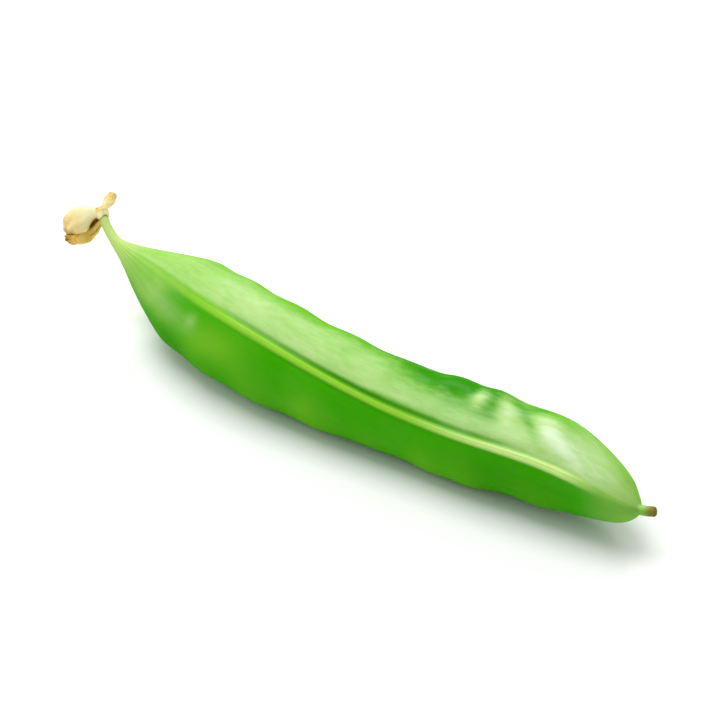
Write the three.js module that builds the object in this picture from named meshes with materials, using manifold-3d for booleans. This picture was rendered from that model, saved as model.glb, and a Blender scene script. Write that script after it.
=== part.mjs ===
// Pea pod: one closed, plump garden pea pod lying on its side, with the withered blossom at the tip of its neck.
//
// Millimetres, +Z up. The pod lies along X, from the tip of the neck at -X to the stub at +X, and rests on the
// surface z = 0 with a small flat spot of its belly. Its seam looks towards -Y and half up.

import * as THREE from 'three';
import { mergeVertices } from 'three/addons/utils/BufferGeometryUtils.js';
import Module from 'manifold-3d';

const wasm = await Module();
wasm.setup();

// Driving dimensions of the pod.
const TIP_AT = -44.1;
const SHOULDER_AT = 41.25;
const STUB_LENGTH = 2.0;
const HALF_THICKNESS = 6.3;
const HALF_DEPTH = 7.25;
const NECK_LENGTH = 19.7;
const SHOULDER_LENGTH = 25.5;
const SHOULDER_ROUNDNESS = 0.545;
const TIP_RADIUS = 0.62;
const STUB_RADIUS = 0.6;
const SCAR_ROUNDING = 0.24;
const EDGE_PINCH = 0.12;

// The way the pod grew, read every 15 mm from FIRST_STATION: how far the middle line swings aside, how high it
// lies, how far the seam is turned up from level, in degrees, and how full the section is.
const FIRST_STATION = -45;
const STATION_STEP = 15;
const SIDE = [-3.5, -5.0, -6.2, -5.1, -2.55, -0.4, -1.9];
const LIFT = [9.2, 6.95, 6.4, 5.8, 5.6, 6.0, 5.75];
const SEAM_TURN = [62, 55, 49.5, 42.5, 33.5, 32.5, 44];
const FULLNESS = [1.0, 0.9, 1.0, 0.9, 0.88, 0.94, 1.08];

// Near its tip the neck hooks up and back, by this much over its last few millimetres.
const HOOK_LENGTH = 5;
const HOOK_ASIDE = 0.95;
const HOOK_RISE = 1.6;

// At the other end the stub turns back and up, by this much over its last few millimetres.
const STUB_BEND_LENGTH = 5;
const STUB_ASIDE = 1.1;
const STUB_RISE = 0.85;

// The seam's pale ridge is two rims with a fine line between them, and a groove runs beside each. It rises gently out
// of the neck and sinks into the shoulder.
const SEAM_START = -36;
const SEAM_END = 40;
const SEAM_RISE = 12;
const SEAM_FALL = 6;
const RIM_OFFSET = 0.3;
const RIM_WIDTH = 0.26;
const RIM_HEIGHT = 0.34;
const GROOVE_OFFSET = 1.0;
const GROOVE_WIDTH = 0.42;
const GROOVE_DEPTH = 0.42;
const LOWER_GROOVE_SHARE = 0.45;

// The keel runs along the back, opposite the seam.
const KEEL_WIDTH = 0.75;
const KEEL_HEIGHT = 0.3;

// The peas inside swell both valves: where each lies, how far it bulges and how long the bulge is.
const PEAS = [
  { at: -24.7, bulge: 0.26, reach: 2.6 },
  { at: -18.7, bulge: 0.32, reach: 2.8 },
  { at: -10.2, bulge: 0.36, reach: 3.4 },
  { at: -1.6, bulge: 0.45, reach: 3.6 },
  { at: 6.4, bulge: 0.18, reach: 3.2 },
  { at: 14.0, bulge: 0.5, reach: 3.0 },
  { at: 19.2, bulge: 0.5, reach: 2.6 },
  { at: 28.6, bulge: 0.45, reach: 3.6 },
];
const BULGE_TURN = 1.45;
const BULGE_SPREAD = 0.8;

// How finely the pod is drawn.
const RINGS = 72;
const AROUND = 44;
const END_CROWDING = 0.75;
const SEAM_CROWDING = 0.62;

// Driving dimensions of the withered blossom. Its collar holds the pod's tip and keeps a small gap to it.
const PETAL_THICKNESS = 0.62;
const SOCKET_GAP = 0.3;
const COLLAR_RADIUS = 1.4;
const COLLAR_LENGTH = 3.0;

// The hood arches over from the collar and hangs: its middle line bends from the tip's own heading to HOOD_DROOP.
const HOOD_LENGTH = 5.5;
const HOOD_BEND_AT = 0.3;
const HOOD_DROOP = new THREE.Vector3(-0.66, -0.56, -0.5).normalize();
const HOOD_ROOT_BEHIND = 0.4;
const HOOD_RADIUS = 1.55;
const HOOD_TURN = 0.1;
const HOOD_SPAN = 1.85;
const HOOD_LOBES = 2.5;
const HOOD_RUFFLE = 0.14;
const HOOD_SCALLOP = 0.14;

// The curled lobes under the hood and the small flap above the collar: where each one heads at its root and the
// way it curls, its length and width, how far it curls in radians and how deep it is cupped.
const LOBES = [
  { heading: [-0.66, -0.68, -0.3], curl: [0.3, 0.1, -1.0], length: 6.4, width: 3.2, bend: 0.9, cup: 0.4 },
  { heading: [-0.15, -0.62, -0.77], curl: [-0.3, -0.5, 0.3], length: 5.0, width: 2.4, bend: 0.45, cup: 0.5 },
  { heading: [-0.45, -0.35, -0.8], curl: [-0.3, -0.6, 0.1], length: 5.1, width: 2.4, bend: 0.8, cup: 0.3 },
  { heading: [0.1, 0.8, 0.5], curl: [-0.6, 0.2, -0.3], length: 3.0, width: 1.5, bend: 0.6, cup: 0.3 },
];

const LOBE_ROOT = 0.4;
const LOBE_BLUNTNESS = 0.04;

// The dry knot that the lobes are stuck to, this far from the tip.
const KNOT_RADIUS = 1.3;
const KNOT_OFFSET = new THREE.Vector3(-0.82, -1.95, -1.53);

const POD_GREEN = new THREE.MeshStandardMaterial({ color: 0x74b83a, roughness: 0.42, metalness: 0 });
const DRY_PETAL = new THREE.MeshStandardMaterial({ color: 0xe3cf9c, roughness: 0.85, metalness: 0 });

const clamp01 = (value) => Math.min(1, Math.max(0, value));
const hump = (distance, width) => Math.exp(-((distance / width) ** 2));
const softStep = (value) => {
  const t = clamp01(value);
  return t * t * (3 - 2 * t);
};

// A smooth curve through the stations, read at any place along the pod.
function atStation(values, along) {
  const last = values.length - 1;
  const t = (along - FIRST_STATION) / STATION_STEP;
  const i = Math.min(last - 1, Math.max(0, Math.floor(t)));
  const f = t - i;
  const before = i > 0 ? values[i - 1] : 2 * values[0] - values[1];
  const after = i + 2 <= last ? values[i + 2] : 2 * values[last] - values[last - 1];
  const [a, b] = [values[i], values[i + 1]];
  return 0.5 * (2 * a + (b - before) * f + (2 * before - 5 * a + 4 * b - after) * f ** 2
    + (3 * a - before - 3 * b + after) * f ** 3);
}

function middleLine(along) {
  const hook = Math.max(0, (TIP_AT + HOOK_LENGTH - along) / HOOK_LENGTH) ** 2;
  const toStubEnd = SHOULDER_AT + STUB_LENGTH - along;
  const bend = Math.max(0, 1 - toStubEnd / STUB_BEND_LENGTH) ** 2;
  const side = atStation(SIDE, along) + HOOK_ASIDE * hook + STUB_ASIDE * bend;
  const lift = atStation(LIFT, along) + HOOK_RISE * hook + STUB_RISE * bend;
  return new THREE.Vector3(along, side, lift);
}

function headingAt(along) {
  const step = 0.05;
  return middleLine(along + step).sub(middleLine(along - step)).normalize();
}

// The share of the full section that the pod has at one place: the hollow-sided neck, the body, the round shoulder.
function girth(along) {
  const neck = softStep((along - TIP_AT) / NECK_LENGTH);
  const intoShoulder = clamp01((along - (SHOULDER_AT - SHOULDER_LENGTH)) / SHOULDER_LENGTH);
  const shoulder = (1 - intoShoulder ** 2) ** SHOULDER_ROUNDNESS;
  return neck * shoulder * atStation(FULLNESS, along);
}

// Both ends close: the tip as a round nose, the stub as a nearly flat scar.
function closing(along) {
  const stubEnd = SHOULDER_AT + STUB_LENGTH;
  const nose = 1 - clamp01((along - TIP_AT) / TIP_RADIUS);
  const scar = 1 - clamp01((stubEnd - along) / SCAR_ROUNDING);
  return Math.sqrt(Math.max(0, 1 - nose ** 2)) * Math.sqrt(Math.max(0, 1 - scar ** 2));
}

// A half width that never gets slimmer than the tip or the stub.
function halfWidth(full, along) {
  const least = along < 0 ? TIP_RADIUS : STUB_RADIUS;
  return closing(along) * Math.cbrt((full * girth(along)) ** 3 + least ** 3);
}

// Everything that stands out of or lies in the smooth hull. The turn is 0 at the seam, plus or minus pi at the back.
function relief(along, turn) {
  const spread = HALF_THICKNESS * girth(along) * Math.abs(Math.sin(turn));
  const fade = softStep((along - SEAM_START) / SEAM_RISE) * softStep((SEAM_END - along) / SEAM_FALL);
  let height = 0;
  if (Math.cos(turn) > 0) {
    const rims = hump(spread - RIM_OFFSET, RIM_WIDTH);
    const share = turn < 0 ? LOWER_GROOVE_SHARE : 1;
    const grooves = share * hump(spread - GROOVE_OFFSET, GROOVE_WIDTH);
    height += fade * (RIM_HEIGHT * rims - GROOVE_DEPTH * grooves);
  } else {
    height += fade * KEEL_HEIGHT * hump(spread, KEEL_WIDTH);
  }
  const onValve = hump(Math.abs(turn) - BULGE_TURN, BULGE_SPREAD);
  for (const pea of PEAS) {
    height += pea.bulge * hump(along - pea.at, pea.reach) * onValve;
  }
  return height;
}

// One point of the pod's skin.
function podPoint(along, turn) {
  const heading = headingAt(along);
  const level = new THREE.Vector3().crossVectors(heading, new THREE.Vector3(0, 0, 1)).normalize();
  const upright = new THREE.Vector3().crossVectors(level, heading);
  const seamTurn = THREE.MathUtils.degToRad(atStation(SEAM_TURN, along));
  const toSeam = level.clone().multiplyScalar(Math.cos(seamTurn)).addScaledVector(upright, Math.sin(seamTurn));
  const toValve = new THREE.Vector3().crossVectors(toSeam, heading);
  const height = relief(along, turn) * closing(along);
  const inDepth = (halfWidth(HALF_DEPTH, along) + height) * Math.cos(turn);
  const pinched = Math.sin(turn) * (1 - EDGE_PINCH * Math.cos(turn) ** 2);
  const inThickness = halfWidth(HALF_THICKNESS, along) * pinched + height * Math.sin(turn);
  const point = middleLine(along).addScaledVector(toSeam, inDepth).addScaledVector(toValve, inThickness);
  point.z = Math.max(0, point.z);
  return point;
}

// A sphere's grid, each vertex moved to where place(u, v) says: u runs from pole to pole, v once around.
function reshapedSphere(around, rings, place) {
  const geometry = new THREE.SphereGeometry(1, around, rings);
  const { position, uv } = geometry.attributes;
  for (let i = 0; i < position.count; i++) {
    const u = 1 - uv.getY(i);
    const v = u > 0 && u < 1 ? uv.getX(i) % 1 : 0;
    position.setXYZ(i, ...place(u, v).toArray());
  }
  geometry.deleteAttribute('normal');
  geometry.deleteAttribute('uv');
  return mergeVertices(geometry, 1e-4);
}

function podGeometry() {
  const length = SHOULDER_AT + STUB_LENGTH - TIP_AT;
  return reshapedSphere(AROUND, RINGS, (u, v) => {
    const share = u - END_CROWDING * Math.sin(2 * Math.PI * u) / (2 * Math.PI);
    const w = 2 * v - 1;
    const turn = Math.PI * w - SEAM_CROWDING * Math.sin(2 * Math.PI * w) / 2;
    return podPoint(TIP_AT + length * share, turn);
  });
}

// A thin leaf of even thickness over the sheet that surface(u, v) gives, u from 0 to 1 and v from -1 to 1.
function petalGeometry(stepsAlong, stepsAcross, surface) {
  const geometry = new THREE.BoxGeometry(1, 1, 1, stepsAlong, stepsAcross, 1);
  const { position } = geometry.attributes;
  const nudge = 1e-3;
  for (let i = 0; i < position.count; i++) {
    const u = position.getX(i) + 0.5;
    const v = 2 * position.getY(i);
    const along = surface(u + nudge, v).sub(surface(u - nudge, v));
    const across = surface(u, v + nudge).sub(surface(u, v - nudge));
    const outwards = along.cross(across).normalize();
    const point = surface(u, v).addScaledVector(outwards, position.getZ(i) * PETAL_THICKNESS);
    position.setXYZ(i, ...point.toArray());
  }
  return geometry;
}

const tip = middleLine(TIP_AT);
const tipHeading = headingAt(TIP_AT).negate();

// The hood: a crumpled half tube that widens from the collar and stands open below and in front.
function hoodGeometry() {
  const start = tip.clone().addScaledVector(tipHeading, -HOOD_ROOT_BEHIND);
  const bend = tip.clone().addScaledVector(tipHeading, HOOD_BEND_AT);
  const end = bend.clone().addScaledVector(HOOD_DROOP, HOOD_LENGTH - HOOD_BEND_AT);
  const axis = new THREE.QuadraticBezierCurve3(start, bend, end);
  return petalGeometry(12, 14, (u, v) => {
    const onward = axis.getTangent(clamp01(u));
    const side = new THREE.Vector3().crossVectors(onward, new THREE.Vector3(0, 0, 1)).normalize();
    const up = new THREE.Vector3().crossVectors(side, onward);
    const turn = HOOD_TURN + HOOD_SPAN * v;
    const swell = 0.45 + 0.7 * softStep(1.3 * u) - 0.28 * u ** 3;
    const ruffle = HOOD_RUFFLE * u * Math.sin(HOOD_LOBES * turn + 4 * u);
    const radius = HOOD_RADIUS * (swell + ruffle);
    const reach = u * (1 - HOOD_SCALLOP + HOOD_SCALLOP * Math.cos(3 * v + 0.6));
    return axis.getPoint(clamp01(reach))
      .addScaledVector(up, radius * Math.cos(turn))
      .addScaledVector(side, -radius * Math.sin(turn));
  });
}

// A lobe or flap: a cupped strip that leaves the collar, curls over and ends in a blunt point.
function lobeGeometry({ heading, curl, length, width, bend, cup }) {
  const onward = new THREE.Vector3(...heading).normalize();
  const over = new THREE.Vector3(...curl);
  over.addScaledVector(onward, -over.dot(onward)).normalize();
  const across = new THREE.Vector3().crossVectors(onward, over);
  return petalGeometry(8, 6, (u, v) => {
    const widening = LOBE_ROOT + (1 - LOBE_ROOT) * softStep(2 * u);
    const half = 0.5 * width * widening * Math.sqrt(Math.max(0, 1 + LOBE_BLUNTNESS - u ** 2));
    return tip.clone()
      .addScaledVector(onward, length * Math.sin(bend * u) / bend)
      .addScaledVector(over, length * (1 - Math.cos(bend * u)) / bend + cup * v * v)
      .addScaledVector(across, half * v);
  });
}

// A round body along the tip's heading, from behind the tip to past it.
function tipBody(radius, behind, past) {
  const capsule = new THREE.CapsuleGeometry(radius, behind + past - 2 * radius, 3, 12);
  capsule.rotateX(Math.PI / 2);
  capsule.lookAt(tipHeading);
  const centre = tip.clone().addScaledVector(tipHeading, (past - behind) / 2);
  return capsule.translate(...centre.toArray());
}

function toSolid(geometry) {
  const bare = geometry.clone();
  bare.deleteAttribute('normal');
  bare.deleteAttribute('uv');
  const merged = mergeVertices(bare, 1e-4);
  return new wasm.Manifold(new wasm.Mesh({
    numProp: 3,
    vertProperties: merged.attributes.position.array,
    triVerts: Uint32Array.from(merged.index.array),
  }));
}

function toGeometry(solid) {
  const { vertProperties, triVerts } = solid.getMesh();
  const geometry = new THREE.BufferGeometry();
  geometry.setAttribute('position', new THREE.BufferAttribute(vertProperties, 3));
  geometry.setIndex(new THREE.BufferAttribute(triVerts, 1));
  return geometry;
}

// The dry petals are stuck together, so they are one body.
function blossomGeometry() {
  let blossom = toSolid(tipBody(COLLAR_RADIUS, COLLAR_LENGTH / 2, COLLAR_LENGTH / 2));
  blossom = blossom.add(toSolid(hoodGeometry()));
  for (const lobe of LOBES) {
    blossom = blossom.add(toSolid(lobeGeometry(lobe)));
  }
  const knot = new THREE.SphereGeometry(KNOT_RADIUS, 16, 12);
  knot.translate(...tip.clone().add(KNOT_OFFSET).toArray());
  blossom = blossom.add(toSolid(knot));
  const socket = tipBody(TIP_RADIUS + SOCKET_GAP, COLLAR_LENGTH, SOCKET_GAP);
  return toGeometry(blossom.subtract(toSolid(socket)));
}

const pod = new THREE.Mesh(podGeometry(), POD_GREEN);
pod.name = 'pod';

const blossom = new THREE.Mesh(blossomGeometry(), DRY_PETAL);
blossom.name = 'withered_blossom';

const peaPod = new THREE.Group();
peaPod.add(pod, blossom);

const extent = new THREE.Box3().setFromObject(peaPod);
const middle = extent.getCenter(new THREE.Vector3());
peaPod.position.set(-middle.x, -middle.y, -extent.min.z);

export default peaPod;
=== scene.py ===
"""Pea pod: one closed garden pea pod with its withered blossom, lying on a pale floor."""

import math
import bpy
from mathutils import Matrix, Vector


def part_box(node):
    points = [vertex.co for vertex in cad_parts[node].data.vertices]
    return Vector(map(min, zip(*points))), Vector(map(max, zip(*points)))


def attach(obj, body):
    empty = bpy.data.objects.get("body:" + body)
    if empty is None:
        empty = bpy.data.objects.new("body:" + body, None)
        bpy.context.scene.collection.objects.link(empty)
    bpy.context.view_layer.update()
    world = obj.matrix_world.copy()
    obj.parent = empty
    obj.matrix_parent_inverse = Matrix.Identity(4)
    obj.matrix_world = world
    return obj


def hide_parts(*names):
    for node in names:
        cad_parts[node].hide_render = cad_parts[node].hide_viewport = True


bl_info = {
    "name": "Pea Pod",
    "version": (1, 0, 0),
    "blender": (4, 5, 0),
    "location": "3D View > Sidebar > Pea Pod",
    "description": "Builds a garden pea pod with its waxy skin, ridged seam and withered blossom",
    "category": "Add Mesh",
}

import bpy
import numpy as np
from bpy.props import FloatProperty, FloatVectorProperty, IntProperty, PointerProperty
from mathutils import Vector

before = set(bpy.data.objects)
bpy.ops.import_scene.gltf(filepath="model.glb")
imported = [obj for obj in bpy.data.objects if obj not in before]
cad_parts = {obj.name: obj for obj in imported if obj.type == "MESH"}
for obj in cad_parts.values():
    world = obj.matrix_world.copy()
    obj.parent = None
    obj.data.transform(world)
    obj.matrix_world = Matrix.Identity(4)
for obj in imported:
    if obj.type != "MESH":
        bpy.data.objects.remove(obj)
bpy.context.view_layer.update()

MM = 0.001

# How the pod grew, in millimetres. Three places along it, from its middle: the tip of the neck, where
# the shoulder closes, and the end of the stub. Then how thick, deep and round it is.
TIP_AT = -44.1
SHOULDER_AT = 41.25
STUB_END_AT = SHOULDER_AT + 2.0
HALF_THICKNESS = 6.3
HALF_DEPTH = 7.25
NECK_LENGTH = 19.7
SHOULDER_LENGTH = 25.5
SHOULDER_ROUNDNESS = 0.545
TIP_RADIUS = 0.62
STUB_RADIUS = 0.6
SCAR_ROUNDING = 0.24
EDGE_PINCH = 0.12

# At each station: how far the middle line swings aside and how high it lies, how far the seam is
# turned up from level, in degrees, and how full the section is.
FIRST_STATION = -45
STATION_STEP = 15
SIDE = (-3.5, -5.0, -6.2, -5.1, -2.55, -0.4, -1.9)
LIFT = (9.2, 6.95, 6.4, 5.8, 5.6, 6.0, 5.75)
SEAM_TURN = (62, 55, 49.5, 42.5, 33.5, 32.5, 44)
FULLNESS = (1.0, 0.9, 1.0, 0.9, 0.88, 0.94, 1.08)

# Near its tip the neck hooks up and back.
HOOK_LENGTH = 5
HOOK_ASIDE = 0.95
HOOK_RISE = 1.6

# At the other end the stub turns back and up.
STUB_BEND_LENGTH = 5
STUB_ASIDE = 1.1
STUB_RISE = 0.85

# The stretches along the pod over which its forms rise, and over which they fall again.
SEAM_RISE = (-25, -11)
SEAM_FALL = (32, 39)
GROOVE_RISE = (-19, -11)
GROOVE_FALL = (21, 30)
RIB_RISE = (-43, -38)
RIB_FALL = (-30, -18)

# The pale ridge: where its colour begins and is full, across it, and where along the pod it broadens.
RIDGE_EDGE = (0.72, 0.26)
RIDGE_BROADENING = (16, 34)

# The groove beside the ridge is deepest and nearest to it in its middle, and drifts away at both ends.
GROOVE_MIDDLE = 4
GROOVE_WIDTH = 0.36
GROOVE_DRIFT_LENGTH = 20
GROOVE_DEEP_LENGTH = 9
GROOVE_END_SHARE = 0.5
LOWER_GROOVE_SHARE = 0.3
KEEL_WIDTH = 0.75

# Where the seam strays from its straight run, how far, towards the upper valve, and over what length.
SEAM_WANDER = (
    (-12, 0.36, 9),
    (8, -0.2, 7),
    (28, 0.2, 9),
)

# The peas inside swell both valves: where each lies, how far it bulges and how long the bulge is.
PEAS = (
    (-24.7, 0.26, 2.6),
    (-18.7, 0.32, 2.8),
    (-10.2, 0.36, 3.4),
    (-1.6, 0.45, 3.6),
    (6.4, 0.18, 3.2),
    (14.0, 0.5, 3.0),
    (19.2, 0.5, 2.6),
    (28.6, 0.45, 3.6),
)
BULGE_TURN = 1.45
BULGE_SPREAD = 0.8

# Soft dents and folds of the skin: where each lies along the pod and round it, in millimetres and
# radians from the seam, how it is tilted, in degrees, its length and width, and how far it stands out.
FOLDS = (
    ("between the first peas of the thick end", 17.0, 1.25, 80, 3.6, 1.6, -0.14),
    ("before the last pea", 24.3, 1.15, -55, 4.2, 1.7, -0.24),
    ("slanting shoulder of the last pea", 28.5, 0.9, -35, 5.0, 2.0, 0.18),
    ("thin skin before the sixth pea", 11.3, 1.35, 80, 3.2, 1.4, -0.12),
    ("hollow of the neck", -29.0, -0.95, 0, 5.5, 2.2, -0.25),
)

# Patches of the skin: more or less waxy bloom, with painted highlights among them; deeper green, partly
# skin bared of its bloom and partly painted shade and shadow; and lighter green, painted light on the
# swells of the lower valve. The same measures, and how strong each is.
SKIN_PATCHES = (
    ("wax", "over the first peas", -15.0, 0.6, 10, 5.0, 2.0, 0.1),
    ("wax", "thinner over the middle peas", -1.0, 0.88, 0, 7.0, 2.0, -0.14),
    # Painted highlights on the sixth and seventh pea, and a painted highlight streak on the last pea's
    # shoulder.
    ("wax", "light spot on the sixth pea", 18.4, 1.05, 100, 1.6, 0.9, 0.85),
    ("wax", "light spot on the seventh pea", 22.3, 0.98, 118, 2.5, 1.1, 0.95),
    ("wax", "light streak on the last pea's shoulder", 29.0, 0.86, -33, 5.4, 1.3, 0.85),
    ("wax", "on the last pea's back", 34.0, 1.35, 0, 5.0, 3.2, 0.6),
    ("wax", "by the stub", 37.0, 0.4, 0, 4.5, 3.5, 0.2),
    ("wax", "dull in the neck's hollow", -25.5, -0.45, -8, 5.0, 1.8, 0.4),
    # A painted highlight on the first pea's swell.
    ("wax", "pale spot on the first pea", -19.2, -0.42, 60, 1.2, 0.8, 0.4),
    ("wax", "thin by the neck", -32.0, 0.6, 0, 10.0, 5.0, -0.75),
    # The deep patch over the fifth to seventh pea and the top rim of the middle peas are partly painted
    # shadow, and partly skin bared of its bloom.
    ("bare", "top of the fifth to seventh pea", 13.8, 1.28, 0, 7.4, 3.9, 1.12),
    ("bare", "top rim of the middle peas", 4.0, 1.75, 0, 17.0, 3.2, 0.55),
    # A darker green below the painted highlights.
    ("bare", "under the light spots", 20.5, 0.72, 0, 4.5, 1.3, 0.4),
    # Painted shade between the sixth and seventh pea, in the crease before the last pea, and beside the
    # groove.
    ("bare", "between the sixth and seventh pea", 20.4, 1.05, 105, 2.6, 0.9, 0.24),
    ("bare", "crease before the last pea", 25.2, 0.95, -47, 4.6, 0.8, 0.5),
    ("bare", "beside the groove", 11.5, 0.18, 0, 9.0, 0.45, 0.5),
    # Painted shade in the hollow before the last pea, a darker green under the neck, and painted shade on
    # the shade side of the last peas.
    ("bare", "hollow before the last pea", 25.3, 1.4, 0, 1.6, 1.8, 0.5),
    ("bare", "under the neck", -24.0, -1.25, 0, 5.0, 2.2, 0.5),
    ("bare", "shade side of the last peas", 26.0, -0.8, 0, 9.0, 5.0, 0.5),
    # Painted light on the swells of the first peas and of the third pea.
    ("fresh", "swell of the first peas", -15.5, -0.6, 15, 4.2, 2.4, 0.9),
    ("fresh", "swell of the third pea", -2.5, -0.9, 60, 2.5, 1.6, 0.25),
)

# The even layer of the upper valve, a waxy bloom and painted sheen, and the waxy layer of the back; and the
# painted shade over the shade side; round the pod in radians from the seam. Here and below, a third number
# is how strong a layer or tint gets.
WAX_AND_SHEEN_RISE = (0.08, 0.26)
WAX_AND_SHEEN_FALL = (0.75, 1.42)
BACK_WAX = (1.9, 2.4, 0.45)
SHADE_RISE = (-2.6, -1.8)
SHADE_FALL = (-1.6, -0.7)
PAINTED_UNDERSIDE_SHADE = 0.35
# The thickest bloom takes a whiter colour. It shows here and there at random, and as painted highlights
# where the spots on the peas add to it.
THICK_WAX_AND_HIGHLIGHT = (0.95, 1.9)

# How much the clouds, flecks and fibres of the mottling show in the wax, and the clouds in the greens.
WAX_UNEVENNESS = (0.34, 0.22, 0.1)
GREEN_UNEVENNESS = 0.1

# The valves' colours, the lit green of the upper valve and the painted shade of the lower one, meet between
# these sines of the turn. The lower valve has a share of the uneven waxy bloom, and painted light where a
# pea swells it.
VALVE_MEETING = (-0.09, 0.03)
LOWER_WAX_SHARE = 0.08
PAINTED_SWELL_LIGHT = 1.6

# Tints along the pod, in millimetres. The neck's creeps further towards the tip on its underside.
NECK_TINT = (-15, -29, 0.85)
NECK_CREEP = (-0.4, -1.4, 8.0)
NECK_RAGGEDNESS = 3.0
NECK_TIP_TINT = (-33.0, -42.5, 0.9)
SHOULDER_TINT = (34.5, SHOULDER_AT, 0.7)
SEAM_END_TINT = (10, 25)
SCAR_TINT = (SHOULDER_AT + 0.4, SHOULDER_AT + 1.7, 0.85)
# The groove's tint is painted shade.
GROOVE_SHADE_SHARE = 0.9

# The upper valve of the thick end has a soft gloss, along the pod and round it, dull where the skin is
# bared of its bloom and under the painted shade.
GLOSS_RISE = (7, 16)
GLOSS_FALL = (32, 39)
GLOSS_TURN = (1.5, 0.9)
BARE_DULLNESS = 0.9
GLOSS = 0.4
LEAST_GLOSS = 0.05
SKIN_ROUGHNESS = 0.4
ROUGHNESS_SPREAD = 0.08

# Fine roughness that catches the light: how high, in millimetres, and how strong.
CELL_BUMP = (0.012, 0.35)
FIBRE_BUMP = (0.04, 0.3)
PETAL_BUMP = (0.03, 0.5)

# The mottling of each finish: the size of a patch in millimetres, how many times longer than wide it
# is, how detailed, and the noise at which it begins and is full, where these aren't the rule's own.
SKIN_MOTTLING = {
    "clouds": {"Patch_Size": 3.6, "Stretch": 1.5, "Detail": 4.0},
    "flecks": {"Patch_Size": 0.9, "Stretch": 2.0, "Detail": 4.0, "From": 0.3, "To": 0.7},
    "fibres": {"Patch_Size": 0.35, "Stretch": 14.0, "Detail": 2.0, "From": 0.3, "To": 0.7},
    "cells": {"Patch_Size": 0.28, "Stretch": 1.3, "Detail": 2.0, "From": 0.2, "To": 0.8},
}
PETAL_MOTTLING = {
    "patches": {"Patch_Size": 1.6, "Detail": 4.0},
    "fibres": {"Patch_Size": 0.25, "Stretch": 2.0, "Detail": 3.0},
}

# The withered blossom's petals, in millimetres from the pod's tip. Each is a curled sheet round a bent
# middle line: its radius, the share of it at the root, how it narrows to its rim, how far it is turned
# behind and in front at its root and at its rim, in radians, how ragged its rim is, and how tan it is.
PETALS = {
    "hood": {
        "line": ((0.1, 0.3, -0.4), (-2.0, -1.75, 0.1), (-3.0, -3.2, -2.8)),
        "radius": 1.6,
        "root": 0.5,
        "narrowing": 0.94,
        "behind": (-2.4, -2.9),
        "infront": (1.0, 3.0),
        "ragged": 0.05,
        "tan": 0.1,
    },
    "keel": {
        "line": ((0.0, 0.1, -0.3), (-1.1, -1.7, -3.7), (-3.1, -3.8, -3.1)),
        "radius": 1.15,
        "root": 0.45,
        "narrowing": 0.75,
        "behind": (1.0, 0.5),
        "infront": (4.6, 4.6),
        "ragged": 0.06,
        "tan": 0.7,
    },
    "wing": {
        "line": ((0.0, 0.1, 0.0), (-1.0, -1.5, -1.8), (-2.8, -3.1, -2.6)),
        "radius": 1.35,
        "root": 0.45,
        "narrowing": 0.6,
        "behind": (2.5, 2.0),
        "infront": (5.4, 5.1),
        "ragged": 0.1,
        "tan": 1.0,
    },
}

# How wide a petal opens, as a share of its radius, and how near to its rim its side edges count.
PETAL_WIDENING = 1.15
EDGE_REACH = 0.95

# Petals turn golden along their length, in patches, and brown at the torn edge.
GOLDEN_TINT = (0.2, 0.85, 0.5)
GOLDEN_PATCHES = 0.6
GOLDEN_LEAST = 0.55
TORN_TINT = (0.82, 1.2, 0.7)
TORN_PATCHES = 0.2

# The small flap behind the tip: its bent middle line, which way its flat side looks, its half width at
# the root, how much wider it gets, how far it is cupped, and how tan it is.
FLAP = ((0.0, 0.1, 0.3), (0.1, 1.3, 1.4), (-0.1, 2.5, 1.8))
FLAP_FACING = (0.6, -0.7, 0.6)
FLAP_ROOT = 0.3
FLAP_WIDENING = 0.45
FLAP_CUPPING = 0.35
FLAP_TAN = 0.2

# The collar of the petals: its radius, how far it bulges, where it starts, outwards from the tip, its
# length, and how tan it is.
COLLAR_RADIUS = 0.68
COLLAR_BULGE = 0.14
COLLAR_START = -0.6
COLLAR_LENGTH = 1.3
COLLAR_TAN = 0.25

# The studio, in metres: each softbox's place, its width and height, and its watts.
SOFTBOXES = {
    "overhead_softbox": ((-0.16, 0.0, 0.52), (0.42, 0.32), 2.15),
    "back_softbox": ((-0.24, 0.36, 0.26), (0.2, 0.14), 0.9),
    "side_softbox": ((-0.5, -0.3, 0.35), (0.3, 0.3), 0.6),
}
ROOM_BRIGHTNESS = 0.55
FLOOR_GREY = (0.9, 0.9, 0.9, 1.0)
NEAREST_SEEN = 0.01


def length_setting(name, description, millimetres):
    return FloatProperty(name=name, description=description, default=millimetres * MM, unit="LENGTH")


def share_setting(name, description, default):
    return FloatProperty(
        name=name, description=description, default=default, min=0.0, soft_max=2.0, subtype="FACTOR"
    )


def colour_setting(name, description, default):
    return FloatVectorProperty(name=name, description=description, default=default, subtype="COLOR")


def angle_setting(name, description, degrees):
    return FloatProperty(
        name=name, description=description, default=math.radians(degrees), subtype="ANGLE"
    )


class PodShapeSettings(bpy.types.PropertyGroup):
    """Sizes of the pod's skin."""

    rings: IntProperty(name="Rings", description="Rings of the skin along the pod", default=430, min=60)
    around: IntProperty(name="Around", description="Points of the skin in each ring", default=212, min=40)
    rim_height: length_setting("Rim Height", "How far the seam's two rims stand out", 0.26)
    rim_width: length_setting("Rim Width", "Half width of one rim", 0.26)
    rim_offset: length_setting("Rim Offset", "From the middle of the seam to a rim", 0.13)
    rim_broadening: share_setting("Rim Broadening", "How much broader the ridge gets by the stub", 0.15)
    groove_depth: length_setting("Groove Depth", "Depth of the groove beside the ridge", 0.3)
    groove_offset: length_setting("Groove Offset", "From the middle of the seam to the groove", 0.74)
    groove_drift: length_setting("Groove Drift", "How much further out it lies 20 mm on", 0.15)
    keel_height: length_setting("Keel Height", "How far the keel of the back stands out", 0.3)
    bulge_share: share_setting("Bulge Share", "How plump the peas make the pod, 1 is a ripe pod", 1.0)
    rib_height: length_setting("Rib Height", "Height of the fine ribs along the neck", 0.025)
    ribs: IntProperty(name="Ribs", description="Fine ribs round the neck", default=26, min=4)


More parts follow.
